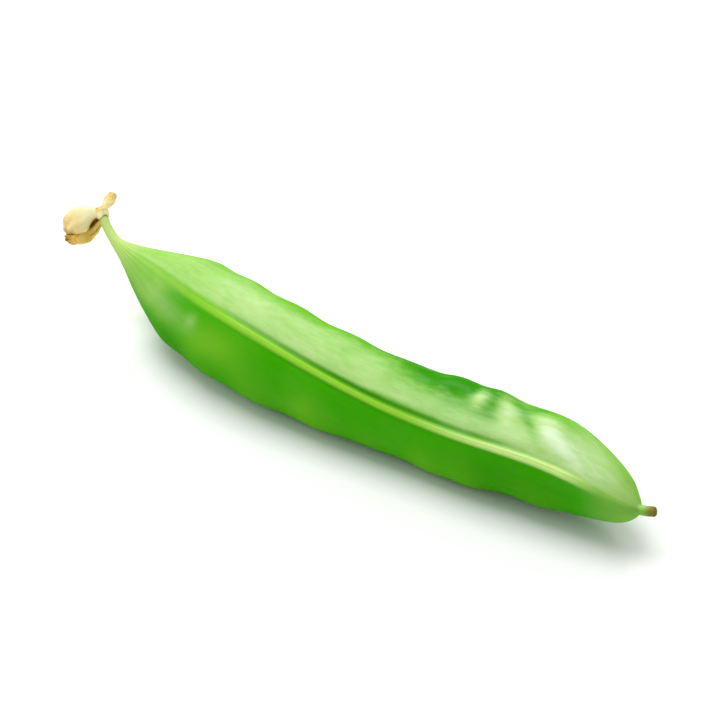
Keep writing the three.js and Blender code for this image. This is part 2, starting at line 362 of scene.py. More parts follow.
class PodColourSettings(bpy.types.PropertyGroup):
    """Colours of the pod's skin."""

    # Painted shade and painted light: the first two greens are one skin's green, darker on the lower valve
    # and the shade side, lighter on the upper valve and the top rim.
    shaded_valve_green: colour_setting("Shaded Valve Green", "Lower valve and shade side", (0.033, 0.345, 0.0))
    lit_valve_green: colour_setting("Lit Valve Green", "Upper valve and top rim", (0.15, 0.46, 0.015))
    # Deeper green, partly skin bared of its bloom and partly painted shade and painted shadow.
    bare_and_shaded_green: colour_setting("Bare And Shaded Green", "Skin bare of wax", (0.026, 0.25, 0.0))
    # A pale waxy bloom, on the upper valve also painted sheen, and on the spots of the peas painted
    # highlights.
    wax_bloom_and_sheen: colour_setting("Wax Bloom And Sheen", "Pale wax on the skin", (0.38, 0.6, 0.2))
    # The whitest bloom, and the painted highlights on the peas.
    thick_wax_and_highlight: colour_setting("Thick Wax And Highlight", "Where the wax is thickest", (0.62, 0.78, 0.5))
    seam_pale: colour_setting("Seam Pale", "The ridge of the seam", (0.27, 0.58, 0.04))
    seam_end: colour_setting("Seam End", "The ridge by the shoulder", (0.53, 0.76, 0.22))
    # Painted shade in the groove beside the ridge.
    groove_shade_green: colour_setting("Groove Shade Green", "The groove beside the ridge", (0.035, 0.28, 0.0))
    neck_pale: colour_setting("Neck Pale", "The neck and the shoulder", (0.27, 0.51, 0.09))
    neck_tip: colour_setting("Neck Tip", "The end of the neck by the blossom", (0.5, 0.63, 0.2))
    scar_brown: colour_setting("Scar Brown", "The dry end of the stub", (0.2, 0.12, 0.03))


class BlossomSettings(bpy.types.PropertyGroup):
    """Sizes and colours of the withered blossom."""

    petal_thickness: length_setting("Petal Thickness", "Thickness of a dry petal", 0.16)
    crumple: length_setting("Crumple", "How far the petals are crumpled", 0.4)
    seed: IntProperty(name="Seed", description="Which crumples the petals have", default=4)
    steps: IntProperty(name="Steps", description="How finely each petal is drawn", default=44, min=8)
    cream: colour_setting("Cream", "The hood", (0.94, 0.86, 0.52))
    tan: colour_setting("Tan", "The lobes", (0.78, 0.49, 0.065))
    brown: colour_setting("Brown", "Edges and hollows", (0.38, 0.18, 0.015))


class StageSettings(bpy.types.PropertyGroup):
    """The camera and the studio."""

    azimuth: angle_setting("Azimuth", "Camera, round from the front", 41.23)
    elevation: angle_setting("Elevation", "Camera, above the horizon", 35.96)
    distance: length_setting("Distance", "From the camera to its aim", 369.7)
    aim: FloatVectorProperty(
        name="Aim",
        description="What the camera looks at",
        default=(1.975 * MM, 2.131 * MM, 7.6 * MM),
        subtype="XYZ",
        unit="LENGTH",
    )
    lens: FloatProperty(name="Lens", description="Focal length", default=152.0, unit="CAMERA")
    floor_radius: length_setting("Floor Radius", "Half size of the pale floor", 1600.0)


class Term:
    """A node socket that can be reckoned with, so that a rule in a node tree reads like a formula."""

    def __init__(self, tree, socket):
        self.tree = tree
        self.socket = socket

    def math(self, operation, *others):
        node = self.tree.nodes.new("ShaderNodeMath")
        node.operation = operation
        for slot, value in zip(node.inputs, (self, *others)):
            feed(slot, value)
        return Term(self.tree, node.outputs[0])

    def __add__(self, other):
        return self.math("ADD", other)

    def __sub__(self, other):
        return self.math("SUBTRACT", other)

    def __mul__(self, other):
        return self.math("MULTIPLY", other)

    def __truediv__(self, other):
        return self.math("DIVIDE", other)

    def __rsub__(self, other):
        return self * -1.0 + other

    __radd__ = __add__


def feed(slot, value):
    """Gives a node's input a plain value or links a term to it."""
    if isinstance(value, Term):
        value.tree.links.new(value.socket, slot)
    else:
        slot.default_value = value


def feed_inputs(node, **inputs):
    """Feeds a node's inputs by name. _ in a name is a space."""
    for label, value in inputs.items():
        feed(node.inputs[label.replace("_", " ")], value)


def add_node(tree, kind, settings=None, **inputs):
    """Adds a node with its settings, and feeds its inputs by name."""
    node = tree.nodes.new(kind)
    for name, value in (settings or {}).items():
        setattr(node, name, value)
    feed_inputs(node, **inputs)
    return node


def add_term(tree, kind, settings=None, **inputs):
    """Adds a node in the same way, and gives its first output."""
    return Term(tree, add_node(tree, kind, settings, **inputs).outputs[0])


def split_terms(vector):
    """The three parts of a place."""
    apart = add_node(vector.tree, "ShaderNodeSeparateXYZ", Vector=vector)
    return [Term(vector.tree, socket) for socket in apart.outputs]


def place_term(x, y, z):
    return add_term(x.tree, "ShaderNodeCombineXYZ", X=x, Y=y, Z=z)


def hump_term(distance, width):
    """A rounded bump, 1 at no distance and nearly 0 past two widths."""
    share = distance / width
    return (share * share * -1.0).math("EXPONENT")


def soft_step_term(value, start, end, full=1.0):
    """Goes softly from 0 to full while the value goes from start to end."""
    smooth = {"interpolation_type": "SMOOTHSTEP"}
    ends = {"From_Min": start, "From_Max": end, "To_Max": full}
    return add_term(value.tree, "ShaderNodeMapRange", smooth, Value=value, **ends)


def between_term(value, rise, fall):
    """Goes softly from 0 to 1 over the stretch of the rise, and back to 0 over that of the fall."""
    return soft_step_term(value, *rise) * soft_step_term(value, fall[1], fall[0])


def arrange(tree):
    """Lays the nodes out in columns from left to right, in the order the rule is worked out."""
    depth = {node: 0 for node in tree.nodes}
    for _ in range(len(tree.nodes)):
        moved = False
        for link in tree.links:
            if depth[link.to_node] < depth[link.from_node] + 1:
                depth[link.to_node] = depth[link.from_node] + 1
                moved = True
        if not moved:
            break
    rows = {}
    for node, column in depth.items():
        rows[column] = rows.get(column, 0) + 1
        node.location = (220 * column, -170 * rows[column])


def new_group(name, kind, inputs, output):
    """A node group, and its inputs as terms by name. An input is given by its default value, or by its
    kind of socket where it has none. The output is its name and its kind of socket."""
    tree = bpy.data.node_groups.new(name, kind)
    number_sockets = {float: "NodeSocketFloat", int: "NodeSocketInt"}
    for label, given in inputs.items():
        socket_type = number_sockets.get(type(given), given)
        socket = tree.interface.new_socket(name=label, in_out="INPUT", socket_type=socket_type)
        if socket_type != given:
            socket.default_value = given
    tree.interface.new_socket(name=output[0], in_out="OUTPUT", socket_type=output[1])
    entry = tree.nodes.new("NodeGroupInput")
    return tree, {socket.name: Term(tree, socket) for socket in entry.outputs if socket.name}


def close_group(result):
    """Ends a group with what it puts out, lays its nodes out and gives the group back."""
    feed(result.tree.nodes.new("NodeGroupOutput").inputs[0], result)
    arrange(result.tree)
    return result.tree


def use_group(tree, group, **values):
    """Places a group in a tree with its own values, and gives what it puts out."""
    kind = "GeometryNodeGroup" if tree.bl_idname == "GeometryNodeTree" else "ShaderNodeGroup"
    return add_term(tree, kind, {"node_tree": group}, **values)


def oval_group(name, kind, amount):
    """A rule for one soft-edged oval of the pod, at a place along and round it, of some amount."""
    inputs = {"Along": 0.0, "Turn": 0.0, "At": 0.0, "Turned To": 0.0, "Tilt": 0.0}
    inputs.update({"Length": 1.0, "Width": 1.0, amount: 1.0})
    _, given = new_group(name, kind, inputs, (amount, "NodeSocketFloat"))
    ahead = given["Along"] - given["At"]
    aside = (given["Turn"] - given["Turned To"]) * HALF_THICKNESS
    cosine, sine = given["Tilt"].math("COSINE"), given["Tilt"].math("SINE")
    lengthwise = ahead * cosine + aside * sine
    crosswise = aside * cosine - ahead * sine
    oval = hump_term(lengthwise, given["Length"]) * hump_term(crosswise, given["Width"])
    return close_group(oval * given[amount])


def place_oval(group, along, turn, label, at, turned, tilt, length, width, **amount):
    """Uses an oval rule at one place of the pod, with a label that says what lies there."""
    oval = use_group(
        along.tree,
        group,
        Along=along,
        Turn=turn,
        At=at,
        Turned_To=turned,
        Tilt=math.radians(tilt),
        Length=length,
        Width=width,
        **amount,
    )
    oval.socket.node.label = label
    return oval


def clamp01(value):
    return np.clip(value, 0.0, 1.0)


def soft_step(value):
    t = clamp01(value)
    return t * t * (3 - 2 * t)


def blend(start, end, share):
    return start + (end - start) * share


def unit(vectors):
    return vectors / np.linalg.norm(vectors, axis=-1, keepdims=True)


def swung(first, second, turn):
    """A direction turned from a first one towards a second one."""
    return first * np.cos(turn)[..., None] + second * np.sin(turn)[..., None]


def level_and_upright(heading):
    """The level direction across a heading, and the one that stands up from both."""
    level = unit(np.cross(heading, (0.0, 0.0, 1.0)))
    return level, np.cross(level, heading)


def at_station(values, along):
    """A smooth curve through the stations, read at any place along the pod."""
    values = np.asarray(values, float)
    last = len(values) - 1
    t = (along - FIRST_STATION) / STATION_STEP
    i = np.clip(np.floor(t).astype(int), 0, last - 1)
    f = t - i
    before = np.where(i > 0, values[np.maximum(i - 1, 0)], 2 * values[0] - values[1])
    after = np.where(i + 2 <= last, values[np.minimum(i + 2, last)], 2 * values[last] - values[last - 1])
    a, b = values[i], values[i + 1]
    slope = b - before
    curve = 2 * before - 5 * a + 4 * b - after
    return 0.5 * (2 * a + slope * f + curve * f**2 + (3 * a - before - 3 * b + after) * f**3)


def middle_line(along):
    hook = np.maximum(0, (TIP_AT + HOOK_LENGTH - along) / HOOK_LENGTH) ** 2
    bend = np.maximum(0, 1 - (STUB_END_AT - along) / STUB_BEND_LENGTH) ** 2
    side = at_station(SIDE, along) + HOOK_ASIDE * hook + STUB_ASIDE * bend
    lift = at_station(LIFT, along) + HOOK_RISE * hook + STUB_RISE * bend
    return np.stack([along, side, lift], -1)


def heading_at(along):
    step = 0.05
    return unit(middle_line(along + step) - middle_line(along - step))


def girth(along):
    """The share of the full section: the hollow-sided neck, the body, the round shoulder."""
    neck = soft_step((along - TIP_AT) / NECK_LENGTH)
    into_shoulder = clamp01((along - (SHOULDER_AT - SHOULDER_LENGTH)) / SHOULDER_LENGTH)
    return neck * (1 - into_shoulder**2) ** SHOULDER_ROUNDNESS * at_station(FULLNESS, along)


def closing(along):
    """Both ends close: the tip as a round nose, the stub as a nearly flat scar."""
    nose = 1 - clamp01((along - TIP_AT) / TIP_RADIUS)
    scar = 1 - clamp01((STUB_END_AT - along) / SCAR_ROUNDING)
    return np.sqrt(1 - nose**2) * np.sqrt(1 - scar**2)


def half_width(full, along):
    """A half width that never gets slimmer than the tip or the stub."""
    least = np.where(along < 0, TIP_RADIUS, STUB_RADIUS)
    return closing(along) * np.cbrt((full * girth(along)) ** 3 + least**3)


def smooth_hull(along, turn):
    """Points of the pod's skin without its relief, in millimetres, and which way it faces at each."""
    heading = heading_at(along)
    level, upright = level_and_upright(heading)
    to_seam = swung(level, upright, np.radians(at_station(SEAM_TURN, along)))
    to_valve = np.cross(to_seam, heading)
    pinched = np.sin(turn) * (1 - EDGE_PINCH * np.cos(turn) ** 2)
    in_depth = (half_width(HALF_DEPTH, along) * np.cos(turn))[..., None]
    in_thickness = (half_width(HALF_THICKNESS, along) * pinched)[..., None]
    points = middle_line(along) + to_seam * in_depth + to_valve * in_thickness
    return points, swung(to_seam, to_valve, turn)


def frame_shift():
    """From the formulas' own place to the frame's, in millimetres. The stub's end reaches furthest."""
    stops_along, stops_round = 400, 181
    lowest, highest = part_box("pod")
    along = np.linspace(TIP_AT, SHOULDER_AT, stops_along)
    turn = np.linspace(-math.pi, math.pi, stops_round)
    points, _ = smooth_hull(*np.meshgrid(along, turn, indexing="ij"))
    aside = (points[..., 1].min() + points[..., 1].max()) / 2
    return np.array((highest.x / MM - STUB_END_AT, (lowest.y + highest.y) / 2 / MM - aside, 0.0))


def new_mesh_object(name, points, faces, attributes=()):
    """A smooth-shaded mesh object at the origin from points in millimetres, with named point attributes."""
    mesh = bpy.data.meshes.new(name)
    mesh.from_pydata((points * MM).tolist(), [], faces)
    for label, kind, values in attributes:
        layer = mesh.attributes.new(label, kind, "POINT")
        field = "vector" if kind == "FLOAT_VECTOR" else "value"
        layer.data.foreach_set(field, np.ascontiguousarray(values, np.float32).ravel())
    mesh.polygons.foreach_set("use_smooth", [True] * len(mesh.polygons))
    mesh.validate()
    obj = bpy.data.objects.new(name, mesh)
    bpy.context.scene.collection.objects.link(obj)
    return obj


def settle(obj):
    """Turns what the modifiers give into the object's own plain mesh, and removes the modifiers."""
    bpy.context.view_layer.update()
    evaluated = obj.evaluated_get(bpy.context.evaluated_depsgraph_get())
    plain = bpy.data.meshes.new_from_object(evaluated)
    plain.name = obj.name
    if not plain.vertices:
        raise RuntimeError(f"{obj.name} came out empty")
    obj.modifiers.clear()
    obj.data = plain


def add_rule(obj, group, **values):
    """Puts a Geometry Nodes rule on an object and sets its inputs, each by its socket's identifier."""
    modifier = obj.modifiers.new(group.name, "NODES")
    modifier.node_group = group
    sockets = {s.name: s.identifier for s in group.interface.items_tree if s.in_out == "INPUT"}
    for label, value in values.items():
        modifier[sockets[label.replace("_", " ")]] = value


def mesh_attribute(tree, name, kind="FLOAT"):
    node = add_node(tree, "GeometryNodeInputNamedAttribute", {"data_type": kind}, Name=name)
    return Term(tree, next(socket for socket in node.outputs if socket.enabled))


def store(geometry, name, value):
    """Keeps a mask on the skin, for its colours."""
    kind, settings = "GeometryNodeStoreNamedAttribute", {"data_type": "FLOAT", "domain": "POINT"}
    node = add_node(geometry.tree, kind, settings, Geometry=geometry, Name=name)
    feed(next(slot for slot in node.inputs if slot.name == "Value" and slot.enabled), value)
    return Term(geometry.tree, node.outputs["Geometry"])


def pushed(geometry, direction, height):
    """Moves each point along its direction by its height."""
    tree = geometry.tree
    offset = add_term(tree, "ShaderNodeVectorMath", {"operation": "SCALE"}, Vector=direction, Scale=height)
    return add_term(tree, "GeometryNodeSetPosition", Geometry=geometry, Offset=offset)


def finished(geometry, material):
    """Ends a rule with real meshes in their material."""
    real = add_term(geometry.tree, "GeometryNodeRealizeInstances", Geometry=geometry)
    return add_term(geometry.tree, "GeometryNodeSetMaterial", Geometry=real, Material=material)


def seam_relief(given, along, turn, spread):
    """The height of the rims, groove and keel, and the masks of the ridge and the groove."""
    front = turn.math("COSINE").math("GREATER_THAN", 0.0)
    upper = turn.math("GREATER_THAN", 0.0)
    fade = between_term(along, SEAM_RISE, SEAM_FALL)
    across = (upper * 2.0 - 1.0) * spread
    for at, aside, reach in SEAM_WANDER:
        across = across - hump_term(along - at, reach) * aside
    from_seam = across.math("ABSOLUTE")
    broader = soft_step_term(along, *RIDGE_BROADENING) * given["Rim Broadening"] + 1.0
    rims = hump_term(from_seam - given["Rim Offset"] * broader, given["Rim Width"] * broader)
    ridge = soft_step_term(from_seam / broader, *RIDGE_EDGE) * front * fade

    from_middle = (along - GROOVE_MIDDLE) / GROOVE_DRIFT_LENGTH
    drifting = given["Groove Offset"] + given["Groove Drift"] * from_middle * from_middle
    on_valve = upper * (1 - LOWER_GROOVE_SHARE) + LOWER_GROOVE_SHARE
    deepest = hump_term(along - GROOVE_MIDDLE, GROOVE_DEEP_LENGTH)
    share = on_valve * (deepest * (1 - GROOVE_END_SHARE) + GROOVE_END_SHARE)
    groove = hump_term(from_seam - drifting, GROOVE_WIDTH) * share
    groove = groove * between_term(along, GROOVE_RISE, GROOVE_FALL) * front

    keel = hump_term(spread, KEEL_WIDTH) * (1 - front) * fade
    height = given["Rim Height"] * rims * front * fade
    height = height - given["Groove Depth"] * groove + given["Keel Height"] * keel
    return height, ridge, groove


def pod_relief_group():
    """Geometry rule: rims, grooves, keel, pea bulges, folds and neck ribs, raised from the smooth hull."""
    tree, given = new_group(
        "Pod Relief",
        "GeometryNodeTree",
        {
            "Geometry": "NodeSocketGeometry",
            "Rim Height": 0.26,
            "Rim Width": 0.26,
            "Rim Offset": 0.13,
            "Rim Broadening": 0.15,
            "Groove Depth": 0.3,
            "Groove Offset": 0.74,
            "Groove Drift": 0.15,
            "Keel Height": 0.3,
            "Bulge Share": 1.0,
            "Rib Height": 0.025,
            "Ribs": 26,
            "Material": "NodeSocketMaterial",
        },
        ("Geometry", "NodeSocketGeometry"),
    )
    along, turn = mesh_attribute(tree, "along"), mesh_attribute(tree, "turn")
    spread, strength = mesh_attribute(tree, "spread"), mesh_attribute(tree, "strength")
    height, ridge, groove = seam_relief(given, along, turn, spread)

    swelling = oval_group("Swelling", "GeometryNodeTree", "Height")
    peas = sum(
        use_group(tree, swelling, Along=along, At=at, Length=reach, Height=bulge)
        for at, bulge, reach in PEAS
    )
    peas = peas * hump_term(turn.math("ABSOLUTE") - BULGE_TURN, BULGE_SPREAD)
    height = height + peas * given["Bulge Share"]
    for *place, stands_out in FOLDS:
        height = height + place_oval(swelling, along, turn, *place, Height=stands_out)
    ribs = (turn * given["Ribs"]).math("COSINE") * between_term(along, RIB_RISE, RIB_FALL)
    height = (height + ribs * given["Rib Height"]) * strength * MM

    raised = pushed(given["Geometry"], mesh_attribute(tree, "outward", "FLOAT_VECTOR"), height)
    x, y, z = split_terms(add_term(tree, "GeometryNodeInputPosition"))
    on_floor = place_term(x, y, z.math("MAXIMUM", 0.0))
    skin = add_term(tree, "GeometryNodeSetPosition", Geometry=raised, Position=on_floor)
    skin.socket.node.label = "Flat spot on the floor"

    masks = {"ridge": ridge, "groove": groove, "peas": peas}
    masks.update({"sine": turn.math("SINE"), "cosine": turn.math("COSINE")})
    for name, mask in masks.items():
        skin = store(skin, name, mask)
    return close_group(finished(skin, given["Material"]))


def mottling_group():
    """Shader rule of every finish here: soft patches of noise, 0 to 1, stretched along the first axis."""
    found = bpy.data.node_groups.get("Mottling")
    if found:
        return found
    tree, given = new_group(
        "Mottling",
        "ShaderNodeTree",
        {
            "Place": "NodeSocketVector",
            "Patch Size": 2.0,
            "Stretch": 1.0,
            "Detail": 3.0,
            "From": 0.35,
            "To": 0.65,
        },
        ("Mask", "NodeSocketFloat"),
    )
    x, y, z = split_terms(given["Place"])
    stretched = place_term(x / given["Stretch"], y, z)
    fineness = (given["Patch Size"] * MM).math("POWER", -1.0)
    noise = add_term(tree, "ShaderNodeTexNoise", Vector=stretched, Scale=fineness, Detail=given["Detail"])
    return close_group(soft_step_term(noise, given["From"], given["To"]))


def mottlings(place, table):
    """The masks of a table of mottling, in its order, over a place."""
    group = mottling_group()
    return [use_group(place.tree, group, Place=place, **sizes) for sizes in table.values()]


def shader_attribute(tree, name):
    node = add_node(tree, "ShaderNodeAttribute", {"attribute_name": name})
    return Term(tree, node.outputs["Fac"])


def mix_colours(under, over, share):
    """Lays one colour over another by a share from 0 to 1."""
    node = add_node(share.tree, "ShaderNodeMix", {"data_type": "RGBA"})
    feed(node.inputs[0], share)
    for slot, colour in ((node.inputs[6], under), (node.inputs[7], over)):
        feed(slot, colour if isinstance(colour, Term) else (*colour, 1.0))
    return Term(share.tree, node.outputs[2])


def layered(colour, *layers):
    """Lays colours over a first one, each by its share."""
    for over, share in layers:
        colour = mix_colours(colour, over, share)
    return colour


def bump(height, distance, strength, **under):
    """Roughens a surface by a height of some millimetres, over the bump under it."""
    return add_term(
        height.tree, "ShaderNodeBump", Height=height, Distance=distance * MM, Strength=strength, **under
    )


def new_material(name):
    material = bpy.data.materials.new(name)
    material.use_nodes = True
    return material, material.node_tree, material.node_tree.nodes["Principled BSDF"]


def skin_films(along, turn, upper, peas, clouds, uneven):
    """How waxy the skin is, with painted sheen and highlights; how bared of bloom, with painted shade; and
    how freshly green, with painted light.
    """
    patch = oval_group("Skin Patch", "ShaderNodeTree", "Strength")
    amounts = {
        "wax": uneven * (upper * (1 - LOWER_WAX_SHARE) + LOWER_WAX_SHARE),
        # Painted shade: a deeper green band over the shade side, on a random tone from the clouds.
        "bare": clouds * GREEN_UNEVENNESS + between_term(turn, SHADE_RISE, SHADE_FALL) * PAINTED_UNDERSIDE_SHADE,
        # Painted light on the upper valve and on the swells of the peas, over a random tone from the
        # clouds.
        "fresh": upper + peas * (1 - upper) * PAINTED_SWELL_LIGHT + clouds * GREEN_UNEVENNESS,
    }
    for kind, *place, strength in SKIN_PATCHES:
        amounts[kind] = amounts[kind] + place_oval(patch, along, turn, *place, Strength=strength)
    # On the upper valve this layer is waxy bloom and painted sheen; on the back it is waxy bloom.
    film_and_sheen = between_term(turn, WAX_AND_SHEEN_RISE, WAX_AND_SHEEN_FALL) + soft_step_term(turn.math("ABSOLUTE"), *BACK_WAX)
    bare = amounts["bare"].math("MINIMUM", 1.0)
    wax = (film_and_sheen * (1 - bare) + amounts["wax"]).math("MAXIMUM", 0.0)
    return wax, bare, amounts["fresh"]


def pod_skin_material(colours):
    """Green skin under a thin waxy bloom, with painted light and sheen on the upper valve, painted shade on
    the lower valve and in the groove, and painted highlights on the peas: paler along the ridge, the neck
    and the shoulder.
    """
    material, tree, shader = new_material("Pod Skin")
    along, sine, cosine = (shader_attribute(tree, name) for name in ("along", "sine", "cosine"))
    ridge, groove, peas = (shader_attribute(tree, name) for name in ("ridge", "groove", "peas"))
    turn = sine.math("ARCTAN2", cosine)
    skin = place_term(along * MM, sine * HALF_THICKNESS * MM, cosine * HALF_DEPTH * MM)
    clouds, flecks, fibres, cells = mottlings(skin, SKIN_MOTTLING)

    upper = soft_step_term(sine, *VALVE_MEETING)
    mottled = zip((clouds, flecks, fibres), WAX_UNEVENNESS)
    uneven = sum((mask - 0.5) * share for mask, share in mottled)
    wax, bare, fresh = skin_films(along, turn, upper, peas, clouds, uneven)
    neck = along + soft_step_term(turn, *NECK_CREEP) + clouds * NECK_RAGGEDNESS
    ridge_colour = mix_colours(colours.seam_pale, colours.seam_end, soft_step_term(along, *SEAM_END_TINT))
    colour = layered(
        colours.shaded_valve_green,
        (colours.lit_valve_green, fresh),
        (colours.neck_pale, soft_step_term(neck, *NECK_TINT)),
        (colours.bare_and_shaded_green, bare),
        (colours.wax_bloom_and_sheen, wax),
        (colours.thick_wax_and_highlight, soft_step_term(wax, *THICK_WAX_AND_HIGHLIGHT)),
        (colours.neck_tip, soft_step_term(along, *NECK_TIP_TINT)),
        (colours.neck_pale, soft_step_term(along, *SHOULDER_TINT)),
        (ridge_colour, ridge),
        # Painted shade in the groove.
        (colours.groove_shade_green, groove * GROOVE_SHADE_SHARE),
        (colours.scar_brown, soft_step_term(along, *SCAR_TINT)),
    )
    gloss = between_term(along, GLOSS_RISE, GLOSS_FALL) * soft_step_term(turn, *GLOSS_TURN)
    gloss = gloss * upper * (1 - bare * BARE_DULLNESS) * (1 - groove)
    feed_inputs(
        shader,
        Base_Color=colour,
        Roughness=flecks * ROUGHNESS_SPREAD + clouds * ROUGHNESS_SPREAD + SKIN_ROUGHNESS,
        Coat_Weight=gloss * GLOSS + LEAST_GLOSS,
        Coat_Roughness=0.26,
        Specular_IOR_Level=0.0,
        Subsurface_Weight=0.12,
        Subsurface_Radius=(0.6, 1.0, 0.25),
        Subsurface_Scale=1.2 * MM,
        IOR=1.45,
        Normal=bump(cells, *CELL_BUMP, Normal=bump(fibres, *FIBRE_BUMP)),
    )
    arrange(tree)
    return material


def dry_petal_material(blossom):
    """Dry, papery petals: cream, tan towards their ends, brown at the torn edges and in the hollows."""
    material, tree, shader = new_material("Dry Petal")
    reach, tan_share = shader_attribute(tree, "reach"), shader_attribute(tree, "tan")
    place = Term(tree, add_node(tree, "ShaderNodeTexCoord").outputs["Object"])
    patches, fibres = mottlings(place, PETAL_MOTTLING)
    golden = tan_share * (patches * GOLDEN_PATCHES + GOLDEN_LEAST) + soft_step_term(reach, *GOLDEN_TINT)
    torn = soft_step_term(reach + patches * TORN_PATCHES, *TORN_TINT)
    feed_inputs(
        shader,
        Base_Color=layered(blossom.cream, (blossom.tan, golden), (blossom.brown, torn)),
        Roughness=fibres * 0.15 + 0.7,
        Subsurface_Weight=0.2,
        Subsurface_Radius=(1.0, 0.7, 0.4),
        Subsurface_Scale=0.5 * MM,
        Normal=bump(fibres, *PETAL_BUMP),
    )
    arrange(tree)
    return material


def pod_skin_grid(rings, around):
    """Places along and round the pod, closer together at both ends and beside the seam."""
    end_crowding = 0.45
    seam_crowding = 0.62
    u = np.linspace(0, 1, rings + 1)[1:-1]
    w = np.linspace(-1, 1, around, endpoint=False)
    share = u - end_crowding * np.sin(2 * np.pi * u) / (2 * np.pi)
    turn = np.pi * w - seam_crowding * np.sin(2 * np.pi * w) / 2
    return np.meshgrid(blend(TIP_AT, STUB_END_AT, share), turn, indexing="ij")


def closed_tube_faces(rings, around):
    """Faces, pointing outwards, of a tube of rings whose last two points are its two ends."""
    faces = []
    first_end, last_end = rings * around, rings * around + 1
    for j in range(around):
        k = (j + 1) % around
        faces.append((first_end, j, k))
        faces.append((last_end, (rings - 1) * around + k, (rings - 1) * around + j))
        for i in range(rings - 1):
            a, b = i * around, (i + 1) * around
            faces.append((a + j, b + j, b + k, a + k))
    return faces


def bent_line(start, bend, end, u):
    """Points of a smooth bent line from its start to its end, and its heading at each."""
    start, bend, end = (np.array(point) for point in (start, bend, end))
    t = u[..., None]
    points = (1 - t) ** 2 * start + 2 * t * (1 - t) * bend + t**2 * end
    return points, unit(2 * (1 - t) * (bend - start) + 2 * t * (end - bend))


def petal_sheet(u, v, petal):
    """Points of one curled petal, u from its root to its rim and v from its back edge to its front edge."""
    turn = blend(blend(*petal["behind"], u), blend(*petal["infront"], u), v)
    ragged = petal["ragged"]
    lobes, teeth = np.cos(1.5 * turn - 0.3), np.sin(9 * turn)
    reach = u * (1 - ragged + ragged * lobes + 0.3 * ragged * teeth)
    middle, onward = bent_line(*petal["line"], reach)
    side, up = level_and_upright(onward)
    widening = blend(petal["root"], PETAL_WIDENING, soft_step(1.4 * u))
    wide_folds, fine_folds = 0.1 * np.sin(3 * turn + 4 * u), 0.05 * np.sin(7 * turn + 1.0)
    narrowed = np.sqrt(1 - petal["narrowing"] * u**4)
    wide = petal["radius"] * (widening * narrowed + u * wide_folds + u * fine_folds)
    return middle + wide[..., None] * swung(up, -side, turn)


def flap_sheet(u, v):
    """Points of the small flap that stands up behind the tip: a narrow root, a blunt rounded end."""
    middle, onward = bent_line(*FLAP, u)
    across = unit(np.cross(onward, FLAP_FACING))
    inward = np.cross(onward, across)
    sideways = 2 * v - 1
    blunt = np.sqrt(np.maximum(0.0, 1.02 - u**3))
    half = FLAP_ROOT + FLAP_WIDENING * soft_step(1.6 * u) * blunt
    cupped = FLAP_CUPPING * sideways**2 * u
    return middle + across * (half * sideways)[..., None] + inward * cupped[..., None]


def collar_sheet(u, v):
    """Points of the dry ring that holds the petals on the pod's tip."""
    heading = -heading_at(np.array(TIP_AT))
    side, up = level_and_upright(heading)
    turn = 2 * np.pi * v
    ruffles, notches = 0.03 * np.sin(5 * turn) * u, 0.14 * np.sin(3 * turn + 1.0) * (1 - u)
    wide = COLLAR_RADIUS + COLLAR_BULGE * np.sin(np.pi * u) ** 0.8 + ruffles
    ahead = COLLAR_START + COLLAR_LENGTH * u + notches
    return heading * ahead[..., None] + wide[..., None] * swung(up, side, turn)


def crumple_group():
    """Geometry rule: crumples dry petals, more towards their rims, with a fixed seed."""
    seed_step = 7.3
    liveliness = 2.4
    root_share = 0.25
    tree, given = new_group(
        "Crumple",
        "GeometryNodeTree",
        {
            "Geometry": "NodeSocketGeometry",
            "Crumple": 0.4 * MM,
            "Crumple Size": 1.1 * MM,
            "Seed": 4,
            "Material": "NodeSocketMaterial",
        },
        ("Geometry", "NodeSocketGeometry"),
    )
    noise = add_term(
        tree,
        "ShaderNodeTexNoise",
        {"noise_dimensions": "4D"},
        Vector=add_term(tree, "GeometryNodeInputPosition"),
        W=given["Seed"] * seed_step,
        Scale=given["Crumple Size"].math("POWER", -1.0),
        Detail=3.0,
        Roughness=0.6,
    )
    height = (noise - 0.5) * liveliness * given["Crumple"] * (mesh_attribute(tree, "reach") + root_share)
    crumpled = pushed(given["Geometry"], add_term(tree, "GeometryNodeInputNormal"), height)
    return close_group(finished(crumpled, given["Material"]))


class PEAPOD_OT_blossom(bpy.types.Operator):
    """Build the withered blossom: thin curled petals, crumpled by the Crumple rule, in a dry collar"""

    bl_idname = "peapod.blossom"
    bl_label = "Withered Blossom"

    def execute(self, context):
        blossom = context.scene.pea_pod_blossom
        steps = blossom.steps
        u, v = np.meshgrid(np.linspace(0, 1, steps + 1), np.linspace(0, 1, steps + 1), indexing="ij")
        rim = np.maximum(u, EDGE_REACH * (2 * v - 1) ** 4)
        sheets = [(petal_sheet(u, v, petal), petal["tan"], rim) for petal in PETALS.values()]
        sheets += [(flap_sheet(u, v), FLAP_TAN, rim), (collar_sheet(u, v), COLLAR_TAN, u)]
        tip = middle_line(np.array(TIP_AT)) + frame_shift()
        points = np.concatenate([sheet.reshape(-1, 3) for sheet, _, _ in sheets]) + tip
        faces = []
        for first in range(0, len(points), (steps + 1) ** 2):
            for i in range(steps):
                for j in range(steps):
                    a = first + i * (steps + 1) + j
                    faces.append((a, a + 1, a + steps + 2, a + steps + 1))
        attributes = [
            ("reach", "FLOAT", np.concatenate([reach.ravel() for _, _, reach in sheets])),
            ("tan", "FLOAT", np.repeat([tan for _, tan, _ in sheets], u.size)),
        ]
        petals = new_mesh_object("dry_petals", points, faces, attributes)
        add_rule(
            petals,
            crumple_group(),
            Crumple=blossom.crumple,
            Seed=blossom.seed,
            Material=dry_petal_material(blossom),
        )
        thick = petals.modifiers.new("Petal Thickness", "SOLIDIFY")
        thick.thickness = blossom.petal_thickness
        thick.offset = 0.0
        settle(petals)
        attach(petals, "root")
        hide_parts("withered_blossom")
        return {"FINISHED"}


